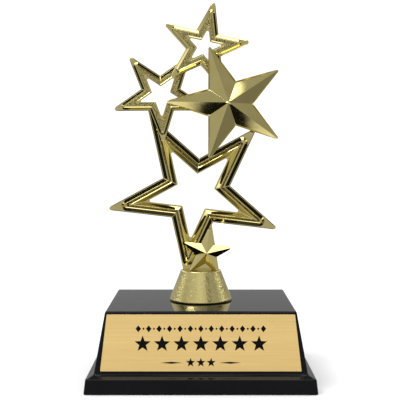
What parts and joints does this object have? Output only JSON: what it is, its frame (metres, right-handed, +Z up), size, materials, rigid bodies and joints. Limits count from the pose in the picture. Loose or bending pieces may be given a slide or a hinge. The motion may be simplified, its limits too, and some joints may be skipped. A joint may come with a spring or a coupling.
{
  "type": "star trophy",
  "caption": "Award trophy: a cluster of open and faceted gold stars on a small cone, bolted to a weighted black base with a blank metal name plate.",
  "frame": {"origin": "on the table under the middle of the base, at the underside of the felt", "axes": "+Z up the trophy, -Y out of the front of the base where the name plate is, +X to the right of someone facing the plate"},
  "size_m": [0.127, 0.101, 0.2168],
  "materials": {
    "black_base": "moulded black plastic, polished like a piano",
    "ballast": "cast cement, matt",
    "bottom_board": "smooth fibreboard",
    "felt": "pressed felt, short nap",
    "plate": "brushed along its length, lacquered",
    "tape": "thin double-sided tape",
    "gold_pedestal": "vacuum-plated pale gold over a fine hammered texture",
    "gold_figure": "vacuum-plated pale gold, mirror bright, with stippled channel floors",
    "zinc": "bright zinc plate"
  },
  "bodies": {
    "root": {"base_shell": "black_base", "ballast_block": "ballast", "bottom_board": "bottom_board", "felt_pad": "felt", "name_plate": "plate", "plate_tape": "tape", "pedestal": "gold_pedestal", "captive_nut": "zinc", "figure_bolt": "zinc", "flat_washer": "zinc", "lock_washer": "zinc", "large_open_star": "gold_figure", "left_open_star": "gold_figure", "top_open_star": "gold_figure", "large_faceted_star": "gold_figure", "faceted_star_cover": "gold_figure", "small_faceted_star": "gold_figure"}
  },
  "joints": []
}
